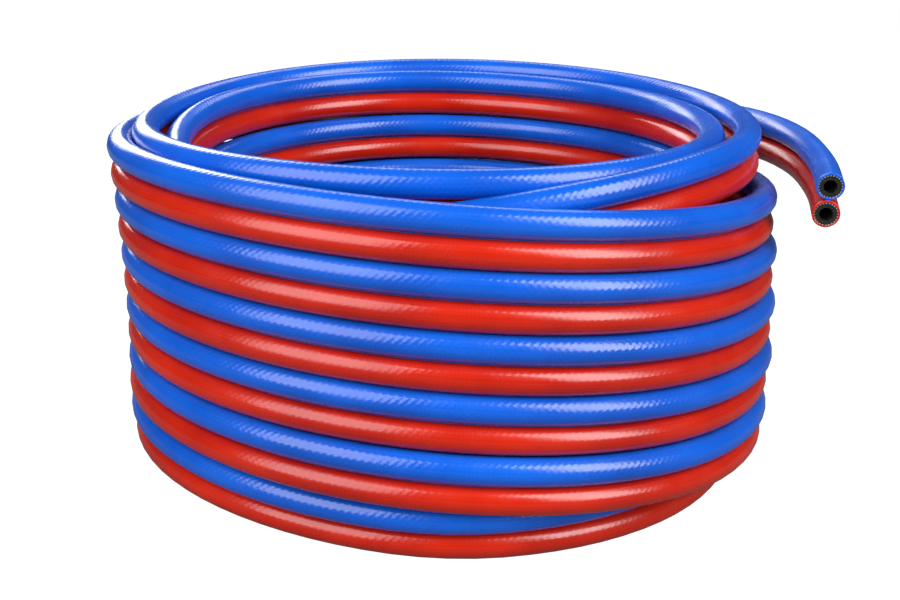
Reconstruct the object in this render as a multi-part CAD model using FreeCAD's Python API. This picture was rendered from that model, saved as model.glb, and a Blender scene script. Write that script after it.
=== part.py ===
import FreeCAD, Part
import math
import os

# Twin welding hose, coiled and standing on the floor. Millimetres, +Z up.
# Seen from above the coil turns anticlockwise. It starts at the free end on the right,
# goes down the outer wall, up the middle wall, over the top and down the inner wall.

# One hose, from the bore outwards.
BORE_RADIUS = 3.15
LINER_RADIUS = 4.8
BRAID_RADIUS = 5.4
COVER_RADIUS = 6.4

# The pair: the acetylene hose hangs under the oxygen hose, and a thin web bonds them.
PAIR = 13.1
WEB_HALF_WIDTH = 1.0
WEB_HALF_THICKNESS = 0.15

# The coil.
TURN_PITCH = 26.2
LAYER_STEP = 13.3
OUTER_RADIUS = 159.2
MIDDLE_RADIUS = OUTER_RADIUS - LAYER_STEP
INNER_RADIUS = MIDDLE_RADIUS - LAYER_STEP
OUTER_TURNS = 5
MIDDLE_CLIMB = 29.3
FLOOR_HEIGHT = COVER_RADIUS + PAIR
LOWEST_FALL = 0.17
TOP_HEIGHT = FLOOR_HEIGHT + (OUTER_TURNS + LOWEST_FALL) * TURN_PITCH
LIFT = 4.45
RIGHT_LEAN = 2.0
RIGHT_DENT = 3.5

# The stack of turns sways sideways as it rises.
SWAY_AT_FLOOR = 1.8
SWAY_TO_LEFT = 7.3
SWAY_FROM = 52.5
SWAY_TO = 156.5
SWAY_POWER = 1.7

# The coil's own axis, placed so that the whole object's box is centred on the origin.
COIL_AXIS = (-7.24, -0.98)

# The route's points: so many in each turn, from the free end to the inner end.
STEPS_PER_TURN = 16
FIRST_STEP = -9
LAST_STEP = 255
# A hose passes inside the corners of its route by this share of their distance from the axis.
CORNER_SHARE = 0.9815
# At an end an extra point stands this share of the first run away from the cut face.
TIP_SHARE = 0.03
# Each arc takes this share of the shorter of its two runs.
ARC_SHARE = 0.45
# A corner that turns by less than twice this, in radians, is no corner.
STRAIGHT_ON = 0.001
# A sweep whose volume differs from section times length by more than this is wrong.
TUBE_TOLERANCE = 0.001
# The web's section stays upright, so it thins a little wherever the pair climbs or drops.
WEB_TOLERANCE = 0.02


# A station is (turn, radius, height, lean): the turn counted from the left side of the coil,
# the oxygen hose's distance from the coil's axis, its height, and how much nearer to the axis
# the acetylene hose lies.


def tail():
    """The free end, which stands out from the right side of the coil towards the front."""
    stations = [
        (-0.5625, 188.0, 147.0, 2.0),
        (-0.5, 187.0, 155.5, 1.0),
        (-0.4375, 179.5, 158.0, 0.0),
        (-0.36, 170.5, 156.5, 0.0),
        (-0.25, 163.3, 153.5, 0.0),
        (-0.12, 160.8, 151.6, 0.0),
    ]
    return lifted(stations)


def lifted(stations):
    return [(turn, radius, height + LIFT, lean) for turn, radius, height, lean in stations]


def outer_wall():
    """Equal turns from the top to the floor, each one stepping down at the front."""
    fall = ((0, 0.0), (0.125, 0.0), (0.25, 0.17), (0.375, 0.48), (0.5, 0.68), (0.625, 0.79), (0.75, 0.90))
    lean = {0.375: RIGHT_LEAN / 2, 0.5: RIGHT_LEAN, 0.625: RIGHT_LEAN / 2}
    lowest_bulge = {0.125: 0.8, 0.25: 2.6, 0.375: 1.5, 0.5: -1.5}
    stations = []
    for turn in range(OUTER_TURNS):
        bulge = lowest_bulge if turn == OUTER_TURNS - 1 else {}
        for part, share in fall:
            radius = OUTER_RADIUS + bulge.get(part, 0.0)
            height = TOP_HEIGHT - TURN_PITCH * (turn + share)
            stations.append((turn + part, radius, height, lean.get(part, 0.0)))
    return stations


def floor_crossing():
    """The pair comes down to the floor at the front and runs in under the outer wall."""
    outer, middle, floor = OUTER_RADIUS, MIDDLE_RADIUS, FLOOR_HEIGHT
    high = floor + LOWEST_FALL * TURN_PITCH
    return [
        (5.0, outer, high, 1.5),
        (5.125, outer - 1.0, high, 3.0),
        (5.1875, outer - 1.5, floor + 2.9, 3.5),
        (5.25, outer - 3.2, floor - 0.4, 3.5),
        (5.3125, outer - 8.6, floor - 0.1, 2.0),
        (5.375, middle + 0.6, floor, 1.0),
        (5.4375, middle - 2.5, floor + 0.5, 0.0),
        (5.5, middle - RIGHT_DENT, floor + 2.0, 0.0),
        (5.625, middle - RIGHT_DENT / 2, floor + 7.0, 0.0),
        (5.8125, middle - 0.4, floor + 13.5, 0.0),
    ]


def middle_wall():
    """Turns that climb behind the outer wall, hidden by it."""
    dents = ((0.1875, 0.0), (0.375, 0.5), (0.5, 1.0), (0.625, 0.5), (0.75, 0.0), (1.0, 0.0))
    first = 6 + dents[0][0]
    start = FLOOR_HEIGHT + 27.0
    stations = []
    for turn in (6, 7, 8):
        for part, dent in dents:
            height = start + MIDDLE_CLIMB * (turn + part - first)
            stations.append((turn + part, MIDDLE_RADIUS - RIGHT_DENT * dent, height, 0.0))
    return stations


def top_crossing():
    """Up through the top at the front right, round the rim, then in across the front."""
    middle = MIDDLE_RADIUS
    stations = [
        (9.0625, middle, 126.0, 0.0),
        (9.125, middle, 128.0, 0.0),
        (9.1875, middle + 0.2, 132.0, 0.0),
        (9.25, middle + 0.1, 142.6, 0.0),
        (9.3125, middle + 1.2, 151.5, 1.7),
        (9.375, middle + 2.5, 158.2, 1.5),
        (9.5, 151.7, 164.3, 0.0),
        (9.625, 151.5, 170.0, 0.0),
        (9.6875, 151.2, 171.3, 0.0),
        (9.75, 150.6, 171.0, 0.0),
        (9.875, 148.8, 164.8, 1.0),
        (9.9375, 148.6, 159.8, 1.5),
        (10.0, 147.6, 156.0, 1.0),
        (10.0625, 146.8, 155.3, 0.5),
        (10.125, 145.3, 155.0, 1.5),
        (10.1875, 140.8, 155.0, 4.8),
        (10.25, 136.7, 155.2, 4.8),
        (10.3125, 134.3, 155.7, 2.5),
        (10.375, 133.5, 157.2, 0.5),
        (10.5, 134.2, 161.2, 0.0),
        (10.625, 135.2, 164.6, 0.0),
        (10.75, 136.1, 165.4, 0.0),
        (10.875, 135.5, 161.3, 0.0),
        (10.9375, 134.2, 157.5, 0.0),
        (11.0, INNER_RADIUS, 151.0, 0.0),
    ]
    return lifted(stations)


def inner_wall():
    """Turns down the inside, low at the front and high at the back. The first one lies wider."""
    first = (
        (0.0625, INNER_RADIUS, 143.0),
        (0.125, INNER_RADIUS, 134.5),
        (0.1875, INNER_RADIUS, 129.3),
        (0.25, INNER_RADIUS, 128.0),
        (0.375, 132.4, 130.4),
        (0.5, 133.2, 134.9),
        (0.625, 134.4, 138.2),
        (0.75, 134.8, 138.9),
        (0.8125, 133.6, 137.6),
        (0.875, INNER_RADIUS, 135.0),
        (0.9375, INNER_RADIUS, 131.2),
        (1.0, INNER_RADIUS, 125.0),
    )
    heights = (
        (0.0625, 143.0, 0.0),
        (0.125, 134.5, 0.0),
        (0.1875, 129.3, 0.0),
        (0.25, 128.0, 0.0),
        (0.375, 129.8, 0.5),
        (0.5, 134.9, 1.0),
        (0.625, 137.6, 0.5),
        (0.75, 138.5, 0.0),
        (1.0, 125.0, 0.0),
    )
    stations = [(11 + part, radius, height, 0.0) for part, radius, height in first]
    for lap in range(1, 4):
        for part, height, dent in heights:
            radius = INNER_RADIUS - RIGHT_DENT * dent
            stations.append((11 + lap + part, radius, height - TURN_PITCH * lap, 0.0))
    return lifted(stations)


def inner_end():
    """The last turn lies on the floor, and its end points into the open middle of the coil."""
    inner, floor = INNER_RADIUS, FLOOR_HEIGHT
    return [
        (15.125, inner, floor + 10.0, 0.0),
        (15.1875, inner, floor + 5.0, 0.0),
        (15.25, inner, floor + 2.5, 0.0),
        (15.375, inner - 1.8, floor, 0.0),
        (15.5, inner - 3.8, floor, 0.0),
        (15.8125, inner - 5.0, floor, 0.0),
        (15.875, inner - 9.0, floor, 0.0),
        (15.9375, inner - 24.0, floor, 0.0),
    ]


def all_stations():
    return (tail() + outer_wall() + floor_crossing() + middle_wall()
            + top_crossing() + inner_wall() + inner_end())


def slopes(turns, values):
    """The slope at each station, level wherever the values have a peak or a hollow."""
    rises = []
    for here in range(len(turns) - 1):
        rises.append((values[here + 1] - values[here]) / (turns[here + 1] - turns[here]))
    between = [2 * a * b / (a + b) if a * b > 0 else 0.0 for a, b in zip(rises, rises[1:])]
    return [rises[0]] + between + [rises[-1]]


def glide(turns, values, grades, at):
    """A smooth value between the two stations around one place on the route."""
    here = max(k for k in range(len(turns) - 1) if turns[k] <= at)
    span = turns[here + 1] - turns[here]
    t = (at - turns[here]) / span
    start, end = values[here], values[here + 1]
    leave, arrive = grades[here] * span, grades[here + 1] * span
    square = 3 * (end - start) - 2 * leave - arrive
    cube = 2 * (start - end) + leave + arrive
    return start + t * leave + t * t * square + t ** 3 * cube


def sway(height):
    share = max(0.0, min(height, SWAY_TO) - SWAY_FROM) / (SWAY_TO - SWAY_FROM)
    return SWAY_AT_FLOOR - SWAY_TO_LEFT * share ** SWAY_POWER


def place(turn, radius, height):
    """The route's point at a turn: turn 0 is at the left, a quarter turn later at the front."""
    angle = math.pi + 2 * math.pi * turn
    reach = radius / CORNER_SHARE
    x = COIL_AXIS[0] + sway(height) + reach * math.cos(angle)
    y = COIL_AXIS[1] + reach * math.sin(angle)
    return FreeCAD.Vector(x, y, height)


def ease_end(points):
    """Gives the first two runs shorter steps, so that the hose ends straight and bends gently."""
    end, turn_in, beyond = points[0], points[1], points[2]
    tip = end + (turn_in - end) * TIP_SHARE
    return [end, tip, (end + turn_in) * 0.5, turn_in * 0.75 + beyond * 0.25] + points[2:]


def ease_ends(points):
    eased = ease_end(points)
    return ease_end(eased[::-1])[::-1]


def route_points():
    """The points of the oxygen hose, of the acetylene hose, and of the line midway between."""
    stations = all_stations()
    turns = [station[0] for station in stations]
    columns = [[station[k] for station in stations] for k in (1, 2, 3)]
    grades = [slopes(turns, column) for column in columns]
    oxygen, acetylene = [], []
    for step in range(FIRST_STEP, LAST_STEP + 1):
        turn = step / STEPS_PER_TURN
        radius, height, lean = [glide(turns, c, g, turn) for c, g in zip(columns, grades)]
        drop = math.sqrt(PAIR ** 2 - lean ** 2)
        oxygen.append(place(turn, radius, height))
        acetylene.append(place(turn, radius - lean, height - drop))
    middle = [(a + b) * 0.5 for a, b in zip(oxygen, acetylene)]
    return ease_ends(oxygen), ease_ends(acetylene), ease_ends(middle)


def path(points):
    """Straight runs joined by tangent arcs. Gives the wire and its smallest arc radius."""
    edges = []
    radii = []
    start = points[0]
    for before, corner, after in zip(points, points[1:], points[2:]):
        run_in = corner - before
        run_out = after - corner
        reach = ARC_SHARE * min(run_in.Length, run_out.Length)
        half_turn = run_in.getAngle(run_out) / 2
        if half_turn < STRAIGHT_ON:
            continue
        run_in.normalize()
        run_out.normalize()
        radius = reach / math.tan(half_turn)
        inward = (run_out - run_in).normalize()
        crown = corner + inward * (radius / math.cos(half_turn) - radius)
        arc_start = corner - run_in * reach
        arc_end = corner + run_out * reach
        edges.append(Part.LineSegment(start, arc_start).toShape())
        edges.append(Part.Arc(arc_start, crown, arc_end).toShape())
        radii.append(radius)
        start = arc_end
    edges.append(Part.LineSegment(start, points[-1]).toShape())
    return Part.Wire(edges), min(radii)


def rod(points, wire, radius):
    along = (points[1] - points[0]).normalize()
    section = Part.Wire([Part.makeCircle(radius, points[0], along)])
    return wire.makePipeShell([section], True, False)


def tube(points, wire, inner_radius, outer_radius):
    shape = rod(points, wire, outer_radius).cut(rod(points, wire, inner_radius))
    wanted = math.pi * (outer_radius ** 2 - inner_radius ** 2) * wire.Length
    check_volume(shape, wanted, TUBE_TOLERANCE)
    return shape


def web_between(points, wire):
    """The strip that bonds the two covers, swept upright along the line between them."""
    along = (points[1] - points[0]).normalize()
    upright = FreeCAD.Vector(0, 0, 1)
    side = along.cross(upright).normalize() * WEB_HALF_WIDTH
    up = side.cross(along).normalize() * WEB_HALF_THICKNESS
    corners = [points[0] + side + up, points[0] - side + up, points[0] - side - up, points[0] + side - up]
    section = Part.makePolygon(corners + corners[:1])
    sweep = Part.BRepOffsetAPI.MakePipeShell(wire)
    sweep.setBiNormalMode(upright)
    sweep.add(section)
    sweep.build()
    sweep.makeSolid()
    shape = sweep.shape()
    check_volume(shape, 4 * WEB_HALF_WIDTH * WEB_HALF_THICKNESS * wire.Length, WEB_TOLERANCE)
    return shape


def check_volume(shape, wanted, tolerance):
    share = abs(shape.Volume - wanted) / wanted
    assert shape.isValid() and share < tolerance, (shape.Volume, wanted)


def print_end(name, wire, end, inward):
    """Where a cut end is, which way it faces, and how far the hose runs straight from it."""
    outward = (end - inward).normalize()
    straight = wire.Length
    for edge in (wire.Edges[0], wire.Edges[-1]):
        if min(end.distanceToPoint(vertex.Point) for vertex in edge.Vertexes) < LINER_RADIUS:
            straight = edge.Length
    print(f"{name}: at {end.x!r} {end.y!r} {end.z!r}, facing "
          f"{outward.x!r} {outward.y!r} {outward.z!r}, straight for {straight:.3f} mm")


def hose(name, points):
    """One hose: the liner with the bore, the yarn braid round it, and the coloured cover."""
    wire, tightest = path(points)
    print(f"{name}: length {wire.Length:.0f} mm, tightest arc {tightest:.0f} mm")
    print_end(name + " free end", wire, points[0], points[1])
    print_end(name + " inner end", wire, points[-1], points[-2])
    return {
        name + "_liner": tube(points, wire, BORE_RADIUS, LINER_RADIUS),
        name + "_braid": tube(points, wire, LINER_RADIUS, BRAID_RADIUS),
        name + "_cover": tube(points, wire, BRAID_RADIUS, COVER_RADIUS),
    }


def main():
    oxygen, acetylene, middle = route_points()
    pieces = hose("oxygen", oxygen)
    pieces.update(hose("acetylene", acetylene))
    web_wire, web_tightest = path(middle)
    print(f"web: length {web_wire.Length:.0f} mm, tightest arc {web_tightest:.0f} mm")
    pieces["bonding_web"] = web_between(middle, web_wire)
    os.makedirs("parts", exist_ok=True)
    for name, shape in pieces.items():
        box = shape.BoundBox
        print(f"{name}: {shape.Volume:.0f} mm3, x {box.XMin:.2f} {box.XMax:.2f}, "
              f"y {box.YMin:.2f} {box.YMax:.2f}, z {box.ZMin:.2f} {box.ZMax:.2f}")
        shape.exportStep(f"parts/{name}.step")


main()
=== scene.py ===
import math

import bmesh
import bpy
from mathutils import Matrix, Vector


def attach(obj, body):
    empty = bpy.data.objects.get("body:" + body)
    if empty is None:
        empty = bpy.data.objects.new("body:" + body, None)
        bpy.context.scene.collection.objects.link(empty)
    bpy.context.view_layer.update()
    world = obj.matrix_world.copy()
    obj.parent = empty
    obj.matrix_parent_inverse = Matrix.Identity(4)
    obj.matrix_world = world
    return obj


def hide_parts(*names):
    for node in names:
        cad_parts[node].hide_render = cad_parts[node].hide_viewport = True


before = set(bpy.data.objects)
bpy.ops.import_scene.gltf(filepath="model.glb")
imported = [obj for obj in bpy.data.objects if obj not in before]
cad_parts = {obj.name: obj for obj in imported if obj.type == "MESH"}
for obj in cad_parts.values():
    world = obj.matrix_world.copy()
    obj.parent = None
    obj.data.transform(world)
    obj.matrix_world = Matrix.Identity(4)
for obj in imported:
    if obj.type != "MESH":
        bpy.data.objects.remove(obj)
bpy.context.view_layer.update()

MM = 0.001

# The route of the two hoses, in millimetres, as in the part's own source.
COVER_RADIUS = 6.4
BRAID_RADIUS = 5.4
PAIR = 13.1
TURN_PITCH = 26.2
LAYER_STEP = 13.3
OUTER_RADIUS = 159.2
MIDDLE_RADIUS = OUTER_RADIUS - LAYER_STEP
INNER_RADIUS = MIDDLE_RADIUS - LAYER_STEP
OUTER_TURNS = 5
MIDDLE_CLIMB = 29.3
FLOOR_HEIGHT = COVER_RADIUS + PAIR
# The lowest turn of the outer wall ends this share of a pitch above the floor.
LOWEST_FALL = 0.17
TOP_HEIGHT = FLOOR_HEIGHT + (OUTER_TURNS + LOWEST_FALL) * TURN_PITCH
# Stations with plain heights are all raised by this, to stay on top of the outer wall.
LIFT = 4.45
# On the right the outer wall leans inwards, and the walls behind it are dented.
RIGHT_LEAN = 2.0
RIGHT_DENT = 3.5
# The stack of turns sways sideways as it rises.
SWAY_AT_FLOOR = 1.8
SWAY_TO_LEFT = 7.3
SWAY_FROM = 52.5
SWAY_TO = 156.5
SWAY_POWER = 1.7
COIL_AXIS = (-7.24, -0.98)
# The route has so many points in each turn, from the free end to the inner end.
STEPS_PER_TURN = 16
FIRST_STEP = -9
LAST_STEP = 255
# A hose passes inside the corners of its route by this share of their distance from the axis.
CORNER_SHARE = 0.9815
# At an end an extra point stands this share of the first run away from the cut face.
TIP_SHARE = 0.03

# The hoses' meshes. The bevel rounds the rim of a cut face, and the teeth are the
# grooves that the yarns press into the cover.
POINTS_PER_STEP = 5
SIDES = 48
CUT_BEVEL = 0.15 * MM
TOOTH = 0.3 * MM

# The yarns' cut ends: flat strands that slant to the left and right in turn.
YARNS = 24
YARN_SIDES = 8
YARN_RADIUS = 0.2 * MM
YARN_WIDER = 1.5
YARN_DEPTH = 2.0 * MM
YARN_PROUD = 0.15 * MM
YARN_SLANT = 0.9
YARN_TIP_SHARE = 0.6
YARN_TIP_RISE = 0.4

# The camera: distances in metres from the coil's axis and from the floor, angles in degrees.
CAMERA_ASIDE = -0.003
CAMERA_DISTANCE = 0.658
CAMERA_HEIGHT = 0.2618
CAMERA_PITCH = 16.12
CAMERA_ROLL = 1.72
CAMERA_LENS = 52.09
CAMERA_SHIFT = (0.0086, -0.0011)

# The studio: how strongly the white surroundings fill shadows, and how the floor shines.
FILL_LIGHT = 0.08
FLOOR_REACH = 30.0
FLOOR_GLOW = 1.0

# The weave that shows through the covers: yarns along the hose and round it, in millimetres.
WEAVE_ALONG = 3.2
WEAVE_ROUND = 2 * math.pi * COVER_RADIUS / (YARNS / 2)
BLUE_RELIEF = 0.03 * MM
RED_RELIEF = 0.015 * MM
# The covers' shades: deep, plain and bright.
BLUE_SHADES = (0.001, 0.07, 0.45), (0.002, 0.094, 0.57), (0.003, 0.118, 0.66)
RED_SHADES = (0.38, 0.006, 0.001), (0.5, 0.012, 0.001), (0.6, 0.018, 0.001)


# A station is (turn, radius, height, lean): the turn counted from the left side of the coil,
# the oxygen hose's distance from the coil's axis, its height, and how much nearer to the axis
# the acetylene hose lies.


def tail():
    """The free end, which stands out from the right side of the coil towards the front."""
    stations = [
        (-0.5625, 188.0, 147.0, 2.0),
        (-0.5, 187.0, 155.5, 1.0),
        (-0.4375, 179.5, 158.0, 0.0),
        (-0.36, 170.5, 156.5, 0.0),
        (-0.25, 163.3, 153.5, 0.0),
        (-0.12, 160.8, 151.6, 0.0),
    ]
    return lifted(stations)


def lifted(stations):
    return [(turn, radius, height + LIFT, lean) for turn, radius, height, lean in stations]


def outer_wall():
    """Equal turns from the top to the floor, each one stepping down at the front."""
    fall = ((0, 0.0), (0.125, 0.0), (0.25, 0.17), (0.375, 0.48), (0.5, 0.68), (0.625, 0.79), (0.75, 0.90))
    lean = {0.375: RIGHT_LEAN / 2, 0.5: RIGHT_LEAN, 0.625: RIGHT_LEAN / 2}
    lowest_bulge = {0.125: 0.8, 0.25: 2.6, 0.375: 1.5, 0.5: -1.5}
    stations = []
    for turn in range(OUTER_TURNS):
        bulge = lowest_bulge if turn == OUTER_TURNS - 1 else {}
        for part, share in fall:
            radius = OUTER_RADIUS + bulge.get(part, 0.0)
            height = TOP_HEIGHT - TURN_PITCH * (turn + share)
            stations.append((turn + part, radius, height, lean.get(part, 0.0)))
    return stations


def floor_crossing():
    """The pair comes down to the floor at the front and runs in under the outer wall."""
    outer, middle, floor = OUTER_RADIUS, MIDDLE_RADIUS, FLOOR_HEIGHT
    high = floor + LOWEST_FALL * TURN_PITCH
    return [
        (5.0, outer, high, 1.5),
        (5.125, outer - 1.0, high, 3.0),
        (5.1875, outer - 1.5, floor + 2.9, 3.5),
        (5.25, outer - 3.2, floor - 0.4, 3.5),
        (5.3125, outer - 8.6, floor - 0.1, 2.0),
        (5.375, middle + 0.6, floor, 1.0),
        (5.4375, middle - 2.5, floor + 0.5, 0.0),
        (5.5, middle - RIGHT_DENT, floor + 2.0, 0.0),
        (5.625, middle - RIGHT_DENT / 2, floor + 7.0, 0.0),
        (5.8125, middle - 0.4, floor + 13.5, 0.0),
    ]


def middle_wall():
    """Turns that climb behind the outer wall, hidden by it."""
    dents = ((0.1875, 0.0), (0.375, 0.5), (0.5, 1.0), (0.625, 0.5), (0.75, 0.0), (1.0, 0.0))
    first = 6 + dents[0][0]
    start = FLOOR_HEIGHT + 27.0
    stations = []
    for turn in (6, 7, 8):
        for part, dent in dents:
            height = start + MIDDLE_CLIMB * (turn + part - first)
            stations.append((turn + part, MIDDLE_RADIUS - RIGHT_DENT * dent, height, 0.0))
    return stations


def top_crossing():
    """Up through the top at the front right, round the rim, then in across the front."""
    middle = MIDDLE_RADIUS
    stations = [
        (9.0625, middle, 126.0, 0.0),
        (9.125, middle, 128.0, 0.0),
        (9.1875, middle + 0.2, 132.0, 0.0),
        (9.25, middle + 0.1, 142.6, 0.0),
        (9.3125, middle + 1.2, 151.5, 1.7),
        (9.375, middle + 2.5, 158.2, 1.5),
        (9.5, 151.7, 164.3, 0.0),
        (9.625, 151.5, 170.0, 0.0),
        (9.6875, 151.2, 171.3, 0.0),
        (9.75, 150.6, 171.0, 0.0),
        (9.875, 148.8, 164.8, 1.0),
        (9.9375, 148.6, 159.8, 1.5),
        (10.0, 147.6, 156.0, 1.0),
        (10.0625, 146.8, 155.3, 0.5),
        (10.125, 145.3, 155.0, 1.5),
        (10.1875, 140.8, 155.0, 4.8),
        (10.25, 136.7, 155.2, 4.8),
        (10.3125, 134.3, 155.7, 2.5),
        (10.375, 133.5, 157.2, 0.5),
        (10.5, 134.2, 161.2, 0.0),
        (10.625, 135.2, 164.6, 0.0),
        (10.75, 136.1, 165.4, 0.0),
        (10.875, 135.5, 161.3, 0.0),
        (10.9375, 134.2, 157.5, 0.0),
        (11.0, INNER_RADIUS, 151.0, 0.0),
    ]
    return lifted(stations)


def inner_wall():
    """Turns down the inside, low at the front and high at the back. The first one lies wider."""
    first = (
        (0.0625, INNER_RADIUS, 143.0),
        (0.125, INNER_RADIUS, 134.5),
        (0.1875, INNER_RADIUS, 129.3),
        (0.25, INNER_RADIUS, 128.0),
        (0.375, 132.4, 130.4),
        (0.5, 133.2, 134.9),
        (0.625, 134.4, 138.2),
        (0.75, 134.8, 138.9),
        (0.8125, 133.6, 137.6),
        (0.875, INNER_RADIUS, 135.0),
        (0.9375, INNER_RADIUS, 131.2),
        (1.0, INNER_RADIUS, 125.0),
    )
    heights = (
        (0.0625, 143.0, 0.0),
        (0.125, 134.5, 0.0),
        (0.1875, 129.3, 0.0),
        (0.25, 128.0, 0.0),
        (0.375, 129.8, 0.5),
        (0.5, 134.9, 1.0),
        (0.625, 137.6, 0.5),
        (0.75, 138.5, 0.0),
        (1.0, 125.0, 0.0),
    )
    stations = [(11 + part, radius, height, 0.0) for part, radius, height in first]
    for lap in range(1, 4):
        for part, height, dent in heights:
            radius = INNER_RADIUS - RIGHT_DENT * dent
            stations.append((11 + lap + part, radius, height - TURN_PITCH * lap, 0.0))
    return lifted(stations)


def inner_end():
    """The last turn lies on the floor, and its end points into the open middle of the coil."""
    inner, floor = INNER_RADIUS, FLOOR_HEIGHT
    return [
        (15.125, inner, floor + 10.0, 0.0),
        (15.1875, inner, floor + 5.0, 0.0),
        (15.25, inner, floor + 2.5, 0.0),
        (15.375, inner - 1.8, floor, 0.0),
        (15.5, inner - 3.8, floor, 0.0),
        (15.8125, inner - 5.0, floor, 0.0),
        (15.875, inner - 9.0, floor, 0.0),
        (15.9375, inner - 24.0, floor, 0.0),
    ]


def all_stations():
    return (tail() + outer_wall() + floor_crossing() + middle_wall()
            + top_crossing() + inner_wall() + inner_end())


def slopes(turns, values):
    """The slope at each station, level wherever the values have a peak or a hollow."""
    rises = []
    for here in range(len(turns) - 1):
        rises.append((values[here + 1] - values[here]) / (turns[here + 1] - turns[here]))
    between = [2 * a * b / (a + b) if a * b > 0 else 0.0 for a, b in zip(rises, rises[1:])]
    return [rises[0]] + between + [rises[-1]]


def glide(turns, values, grades, at):
    """A smooth value between the two stations around one place on the route."""
    here = max(k for k in range(len(turns) - 1) if turns[k] <= at)
    span = turns[here + 1] - turns[here]
    t = (at - turns[here]) / span
    start, end = values[here], values[here + 1]
    leave, arrive = grades[here] * span, grades[here + 1] * span
    square = 3 * (end - start) - 2 * leave - arrive
    cube = 2 * (start - end) + leave + arrive
    return start + t * leave + t * t * square + t ** 3 * cube


def sway(height):
    share = max(0.0, min(height, SWAY_TO) - SWAY_FROM) / (SWAY_TO - SWAY_FROM)
    return SWAY_AT_FLOOR - SWAY_TO_LEFT * share ** SWAY_POWER


def place(turn, radius, height):
    """The route's point at a turn: turn 0 is at the left, a quarter turn later at the front."""
    angle = math.pi + 2 * math.pi * turn
    reach = radius / CORNER_SHARE
    x = COIL_AXIS[0] + sway(height) + reach * math.cos(angle)
    y = COIL_AXIS[1] + reach * math.sin(angle)
    return Vector((x, y, height)) * MM


def ease_end(points):
    """Gives the first two runs shorter steps, so that the hose ends straight and bends gently."""
    end, turn_in, beyond = points[0], points[1], points[2]
    tip = end + (turn_in - end) * TIP_SHARE
    return [end, tip, (end + turn_in) * 0.5, turn_in * 0.75 + beyond * 0.25] + points[2:]


def ease_ends(points):
    eased = ease_end(points)
    return ease_end(eased[::-1])[::-1]


def route_points():
    """The points of the oxygen hose and of the acetylene hose, in metres."""
    stations = all_stations()
    turns = [station[0] for station in stations]
    columns = [[station[k] for station in stations] for k in (1, 2, 3)]
    grades = [slopes(turns, column) for column in columns]
    oxygen, acetylene = [], []
    for step in range(FIRST_STEP, LAST_STEP + 1):
        turn = step / STEPS_PER_TURN
        radius, height, lean = [glide(turns, c, g, turn) for c, g in zip(columns, grades)]
        drop = math.sqrt(PAIR ** 2 - lean ** 2)
        oxygen.append(place(turn, radius, height))
        acetylene.append(place(turn, radius - lean, height - drop))
    return ease_ends(oxygen), ease_ends(acetylene)


def spline_line(name, points):
    """The smooth line of one hose: a NURBS spline with the route's points as control points."""
    curve = bpy.data.curves.new(name, "CURVE")
    curve.dimensions = "3D"
    curve.resolution_u = POINTS_PER_STEP
    spline = curve.splines.new("NURBS")
    spline.points.add(len(points) - 1)
    for point, where in zip(spline.points, points):
        point.co = (*where, 1.0)
    spline.order_u = 3
    spline.use_endpoint_u = True
    holder = bpy.data.objects.new(name, curve)
    bpy.context.collection.objects.link(holder)
    bpy.context.view_layer.update()
    mesh = bpy.data.meshes.new_from_object(holder)
    line = [vertex.co.copy() for vertex in mesh.vertices]
    bpy.data.objects.remove(holder)
    bpy.data.curves.remove(curve)
    bpy.data.meshes.remove(mesh)
    return line


def cross_sections(line, partner):
    """At each point of the line: its place, its direction, and two directions across it.
    The first one points to the bonded partner hose, so the section never twists against it."""
    sections = []
    last = len(line) - 1
    for i, here in enumerate(line):
        along = (line[min(i + 1, last)] - line[max(i - 1, 0)]).normalized()
        across = partner[i] - here
        across = (across - along * across.dot(along)).normalized()
        sections.append((here, along, across, along.cross(across)))
    return sections


def ring(section, radius, shift=0.0, tooth=0.0):
    """One ring of points round the hose. With a tooth, every other point lies further out."""
    here, along, across, side = section
    points = []
    for k in range(SIDES):
        angle = 2 * math.pi * k / SIDES
        reach = radius + tooth * (k % 2)
        points.append(here + along * shift + (across * math.cos(angle) + side * math.sin(angle)) * reach)
    return points


def distances(line):
    travelled = [0.0]
    for a, b in zip(line, line[1:]):
        travelled.append(travelled[-1] + (b - a).length)
    return travelled


def closed_loop_of_rings(name, rings, lengths):
    """A mesh whose rings follow each other and close on the first, with a UV map in millimetres:
    u along the hose, v round it."""
    count = len(rings)
    vertices = [point for points in rings for point in points]
    faces = []
    uvs = []
    girth = 2 * math.pi * COVER_RADIUS
    for i in range(count):
        j = (i + 1) % count
        for k in range(SIDES):
            m = (k + 1) % SIDES
            faces.append((i * SIDES + k, i * SIDES + m, j * SIDES + m, j * SIDES + k))
            low, high = girth * k / SIDES, girth * (k + 1) / SIDES
            here, there = lengths[i] / MM, lengths[j] / MM
            uvs.extend([(here, low), (here, high), (there, high), (there, low)])
    mesh = bpy.data.meshes.new(name)
    mesh.from_pydata(vertices, [], faces)
    layer = mesh.uv_layers.new(name="hose_mm")
    for loop, uv in zip(layer.data, uvs):
        loop.uv = uv
    for polygon in mesh.polygons:
        polygon.use_smooth = True
    return mesh


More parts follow.
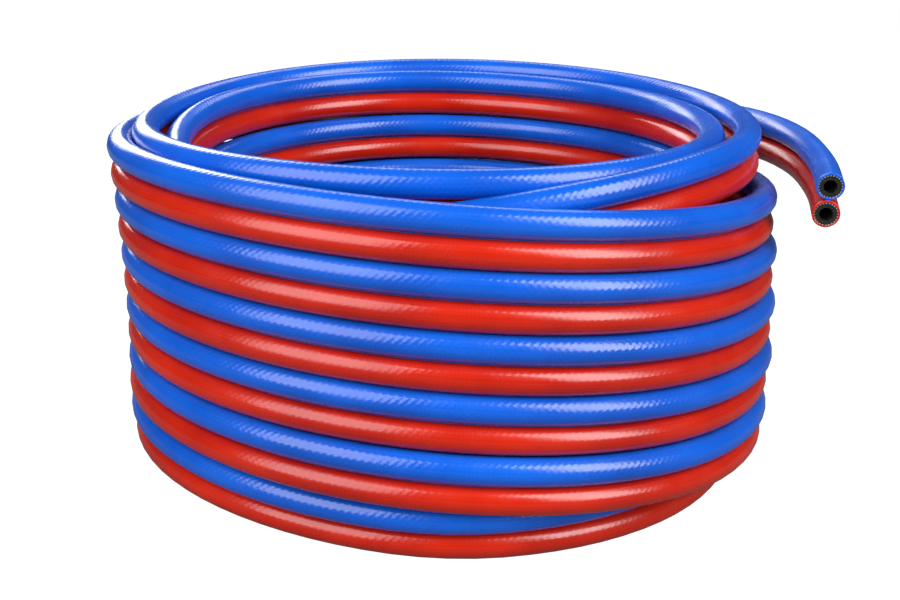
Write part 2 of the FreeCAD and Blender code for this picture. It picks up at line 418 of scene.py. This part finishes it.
def hose_piece(name, line, sections):
    """The cover: its outside, its two cut faces and its inside, as one closed mesh."""
    outside = COVER_RADIUS * MM
    inside = BRAID_RADIUS * MM
    travelled = distances(line)
    first, last = sections[0], sections[-1]
    rings = [ring(first, outside - CUT_BEVEL)]
    lengths = [0.0]
    rings.append(ring(first, outside, CUT_BEVEL))
    lengths.append(CUT_BEVEL)
    for section, length in list(zip(sections, travelled))[1:-1]:
        rings.append(ring(section, outside))
        lengths.append(length)
    rings.append(ring(last, outside, -CUT_BEVEL))
    lengths.append(travelled[-1] - CUT_BEVEL)
    rings.append(ring(last, outside - CUT_BEVEL))
    lengths.append(travelled[-1])
    rings.append(ring(last, inside - TOOTH / 2, 0.0, TOOTH))
    lengths.append(travelled[-1])
    for section, length in list(zip(sections, travelled))[-2:0:-2]:
        rings.append(ring(section, inside))
        lengths.append(length)
    rings.append(ring(first, inside - TOOTH / 2, 0.0, TOOTH))
    lengths.append(0.0)
    mesh = closed_loop_of_rings(name, rings, lengths)
    turn_outward(mesh)
    return add_piece(name, mesh)


def add_piece(name, mesh):
    piece = bpy.data.objects.new(name, mesh)
    bpy.context.collection.objects.link(piece)
    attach(piece, "root")
    return piece


def cut_yarns(name, section, outward):
    """The cut ends of the braid's yarns, a ring of short strands that stand a little proud."""
    here, along, across, side = section
    forward = along * outward
    vertices = []
    faces = []
    seat = (BRAID_RADIUS * MM) - YARN_RADIUS
    for k in range(YARNS):
        angle = 2 * math.pi * (k + 0.5) / YARNS
        out = across * math.cos(angle) + side * math.sin(angle)
        round_it = along.cross(out)
        slant = YARN_SLANT if k % 2 else -YARN_SLANT
        proud = YARN_PROUD * (0.4 + 0.6 * abs(math.sin(5.0 * k)))
        deep = here + out * seat - forward * YARN_DEPTH + round_it * slant * YARN_RADIUS
        tip = here + out * seat + forward * proud
        rounded = tip + forward * YARN_RADIUS * YARN_TIP_RISE
        faces.extend(strand_faces(len(vertices)))
        narrow = YARN_RADIUS * YARN_TIP_SHARE
        for centre, radius in ((deep, YARN_RADIUS), (tip, YARN_RADIUS), (rounded, narrow)):
            for n in range(YARN_SIDES):
                turn = 2 * math.pi * n / YARN_SIDES
                spoke = out * math.cos(turn) + round_it * math.sin(turn) * YARN_WIDER
                vertices.append(centre + spoke * radius)
    mesh = bpy.data.meshes.new(name)
    mesh.from_pydata(vertices, [], faces)
    turn_outward(mesh)
    return add_piece(name, mesh)


def strand_faces(start):
    """The faces of one strand, whose three rings of points are numbered from start."""
    faces = []
    for low in (start, start + YARN_SIDES):
        high = low + YARN_SIDES
        for n in range(YARN_SIDES):
            m = (n + 1) % YARN_SIDES
            faces.append((low + n, low + m, high + m, high + n))
    faces.append(tuple(start + n for n in reversed(range(YARN_SIDES))))
    faces.append(tuple(start + 2 * YARN_SIDES + n for n in range(YARN_SIDES)))
    return faces


def turn_outward(mesh):
    """Makes every face of a closed mesh look outwards."""
    shape = bmesh.new()
    shape.from_mesh(mesh)
    bmesh.ops.recalc_face_normals(shape, faces=shape.faces)
    shape.to_mesh(mesh)
    shape.free()


class Nodes:
    """A material's node tree, with short ways to add and join its nodes."""

    def __init__(self, name):
        self.material = bpy.data.materials.new(name)
        self.material.use_nodes = True
        self.tree = self.material.node_tree
        self.surface = self.tree.nodes["Principled BSDF"]

    def add(self, kind, inputs=None, **settings):
        node = self.tree.nodes.new(kind)
        for name, value in settings.items():
            setattr(node, name, value)
        for name, value in (inputs or {}).items():
            self.give(node, name, value)
        return node

    def give(self, node, name, value):
        if isinstance(value, bpy.types.NodeSocket):
            self.tree.links.new(value, node.inputs[name])
        else:
            node.inputs[name].default_value = value

    def math(self, operation, a, b=0.0):
        node = self.add("ShaderNodeMath", {0: a, 1: b}, operation=operation)
        return node.outputs[0]

    def noise(self, where, scale, detail=3.0):
        inputs = {"Vector": where, "Scale": scale, "Detail": detail}
        return self.add("ShaderNodeTexNoise", inputs).outputs["Fac"]

    def spread(self, value, low, high, low_to, high_to):
        inputs = {0: value, 1: low, 2: high, 3: low_to, 4: high_to}
        return self.add("ShaderNodeMapRange", inputs).outputs[0]

    def colours(self, value, stops):
        """A colour ramp through the given (place, colour) stops."""
        node = self.add("ShaderNodeValToRGB", {"Fac": value})
        ramp = node.color_ramp
        while len(ramp.elements) < len(stops):
            ramp.elements.new(0.5)
        for element, (place_on_ramp, colour) in zip(ramp.elements, stops):
            element.position = place_on_ramp
            element.color = (*colour, 1.0)
        return node.outputs["Color"]

    def finish(self, colour, roughness, height, depth):
        bump = self.add("ShaderNodeBump", {"Height": height, "Distance": depth, "Strength": 1.0})
        self.give(self.surface, "Base Color", colour)
        self.give(self.surface, "Roughness", roughness)
        self.give(self.surface, "Normal", bump.outputs["Normal"])
        return self.material


def weave_of(nodes):
    """The yarns under the cover as two crossing sets of slanted waves, from -1 to 1."""
    uv = nodes.add("ShaderNodeUVMap", uv_map="hose_mm").outputs["UV"]
    split = nodes.add("ShaderNodeSeparateXYZ", {"Vector": uv})
    along = nodes.math("MULTIPLY", split.outputs["X"], 2 * math.pi / WEAVE_ALONG)
    around = nodes.math("MULTIPLY", split.outputs["Y"], 2 * math.pi / WEAVE_ROUND)
    right = nodes.math("SINE", nodes.math("ADD", around, along))
    left = nodes.math("SINE", nodes.math("SUBTRACT", around, along))
    return right, left


def cover_material(name, relief, shades):
    """Glossy flexible plastic over a braid, with the relief of its weave and its three shades."""
    nodes = Nodes(name)
    where = nodes.add("ShaderNodeTexCoord").outputs["Object"]
    right, left = weave_of(nodes)
    crossing = nodes.math("MULTIPLY", right, left)
    cloud = nodes.noise(where, 22.0)
    grain = nodes.noise(where, 900.0, 2.0)
    shade = nodes.math("ADD", nodes.math("MULTIPLY", cloud, 0.8), nodes.math("MULTIPLY", crossing, 0.06))
    colour = nodes.colours(shade, tuple(zip((0.2, 0.42, 0.65), shades)))
    scuffs = nodes.noise(where, 60.0, 6.0)
    roughness = nodes.spread(scuffs, 0.35, 0.7, 0.2, 0.3)
    height = nodes.math("ADD", nodes.math("MULTIPLY", right, 0.7), nodes.math("MULTIPLY", left, 0.3))
    height = nodes.math("ADD", height, nodes.math("MULTIPLY", grain, 0.3))
    nodes.surface.inputs["IOR"].default_value = 1.55
    return nodes.finish(colour, roughness, height, relief)


def rubber_material():
    nodes = Nodes("black_rubber")
    where = nodes.add("ShaderNodeTexCoord").outputs["Object"]
    cloud = nodes.noise(where, 700.0, 4.0)
    colour = nodes.colours(cloud, ((0.3, (0.001, 0.001, 0.001)), (0.7, (0.01, 0.01, 0.008))))
    roughness = nodes.spread(cloud, 0.3, 0.7, 0.4, 0.7)
    return nodes.finish(colour, roughness, nodes.noise(where, 2600.0, 3.0), 0.12 * MM)


def yarn_material():
    nodes = Nodes("yarn")
    where = nodes.add("ShaderNodeTexCoord").outputs["Object"]
    fibre = nodes.noise(where, 4000.0, 4.0)
    colour = nodes.colours(fibre, ((0.3, (0.26, 0.25, 0.2)), (0.7, (0.66, 0.64, 0.55))))
    return nodes.finish(colour, nodes.spread(fibre, 0.3, 0.7, 0.8, 0.95), fibre, 0.1 * MM)


def paint(piece, material):
    piece.data.materials.clear()
    piece.data.materials.append(material)


def make_camera():
    """Looks along +Y from the front, a little down, rolled a little."""
    pitch = math.radians(CAMERA_PITCH)
    roll = math.radians(CAMERA_ROLL)
    forward = Vector((0, math.cos(pitch), -math.sin(pitch)))
    level = Vector((1, 0, 0))
    up = level.cross(forward)
    right = level * math.cos(roll) + up * math.sin(roll)
    top = up * math.cos(roll) - level * math.sin(roll)
    x = COIL_AXIS[0] * MM + CAMERA_ASIDE
    y = COIL_AXIS[1] * MM - CAMERA_DISTANCE
    data = bpy.data.cameras.new("camera")
    data.lens = CAMERA_LENS
    data.shift_x, data.shift_y = CAMERA_SHIFT
    data.clip_end = 50.0
    camera = bpy.data.objects.new("camera", data)
    turn = Matrix((right, top, -forward)).transposed()
    camera.matrix_world = Matrix.Translation((x, y, CAMERA_HEIGHT)) @ turn.to_4x4()
    bpy.context.collection.objects.link(camera)
    bpy.context.scene.camera = camera


def softbox(name, where, target, size, power):
    data = bpy.data.lights.new(name, "AREA")
    data.shape = "RECTANGLE"
    data.size, data.size_y = size
    data.energy = power
    light = bpy.data.objects.new(name, data)
    aim = Vector(target) - Vector(where)
    light.location = where
    light.rotation_euler = aim.to_track_quat("-Z", "Y").to_euler()
    bpy.context.collection.objects.link(light)


def make_lights():
    """Two large softboxes at the front, and two smaller ones behind that edge the coil with light."""
    middle = (0.0, 0.0, 0.08)
    softbox("softbox_left", (-0.89, -1.06, 0.88), middle, (1.4, 1.7), 33.0)
    softbox("softbox_right", (1.11, -0.78, 0.93), middle, (0.8, 1.4), 29.0)
    softbox("softbox_back", (-0.2, 1.2, 1.3), middle, (1.6, 0.4), 7.0)
    softbox("softbox_side", (-0.66, 1.15, 0.75), middle, (0.5, 0.9), 9.5)


def make_world():
    """White to look at, but dimmer in reflections and where it fills shadows."""
    world = bpy.data.worlds.new("studio")
    world.use_nodes = True
    tree = world.node_tree
    background = tree.nodes["Background"]
    background.inputs["Color"].default_value = (1.0, 1.0, 1.0, 1.0)
    rays = tree.nodes.new("ShaderNodeLightPath")
    strength = tree.nodes.new("ShaderNodeMapRange")
    strength.inputs["To Min"].default_value = FILL_LIGHT
    strength.inputs["To Max"].default_value = 1.0
    tree.links.new(rays.outputs["Is Camera Ray"], strength.inputs["Value"])
    tree.links.new(strength.outputs["Result"], background.inputs["Strength"])
    bpy.context.scene.world = world


def make_floor():
    """A wide sheet of pale paper that stays white to look at far away."""
    mesh = bpy.data.meshes.new("floor")
    reach = FLOOR_REACH
    corners = [(-reach, -reach, 0), (reach, -reach, 0), (reach, reach, 0), (-reach, reach, 0)]
    mesh.from_pydata(corners, [], [(0, 1, 2, 3)])
    floor = bpy.data.objects.new("floor", mesh)
    bpy.context.collection.objects.link(floor)
    nodes = Nodes("white_paper")
    where = nodes.add("ShaderNodeTexCoord").outputs["Object"]
    cloud = nodes.noise(where, 3.0)
    colour = nodes.colours(cloud, ((0.3, (0.16, 0.16, 0.16)), (0.7, (0.18, 0.18, 0.18))))
    seen = nodes.add("ShaderNodeLightPath").outputs["Is Camera Ray"]
    nodes.give(nodes.surface, "Emission Color", (1.0, 1.0, 1.0, 1.0))
    nodes.give(nodes.surface, "Emission Strength", nodes.math("MULTIPLY", seen, FLOOR_GLOW))
    nodes.give(nodes.surface, "Specular IOR Level", 0.0)
    paint(floor, nodes.finish(colour, 0.9, cloud, 0.01 * MM))


def make_hose(name, line, partner, cover, yarn):
    sections = cross_sections(line, partner)
    piece = hose_piece(name + "_hose", line, sections)
    paint(piece, cover)
    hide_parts(name + "_cover")
    for where, section, outward in (("free", sections[0], -1), ("inner", sections[-1], 1)):
        strands = cut_yarns(f"{name}_{where}_end_yarns", section, outward)
        paint(strands, yarn)


def main():
    bpy.context.scene.view_settings.view_transform = "Standard"
    make_camera()
    make_world()
    make_lights()
    make_floor()
    blue = cover_material("blue_cover", BLUE_RELIEF, BLUE_SHADES)
    red = cover_material("red_cover", RED_RELIEF, RED_SHADES)
    black = rubber_material()
    yarn = yarn_material()
    oxygen_points, acetylene_points = route_points()
    oxygen = spline_line("oxygen_route", oxygen_points)
    acetylene = spline_line("acetylene_route", acetylene_points)
    make_hose("oxygen", oxygen, acetylene, blue, yarn)
    make_hose("acetylene", acetylene, oxygen, red, yarn)
    for node in ("oxygen_liner", "acetylene_liner", "oxygen_braid", "acetylene_braid"):
        paint(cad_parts[node], black)
    paint(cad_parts["bonding_web"], blue)


main()
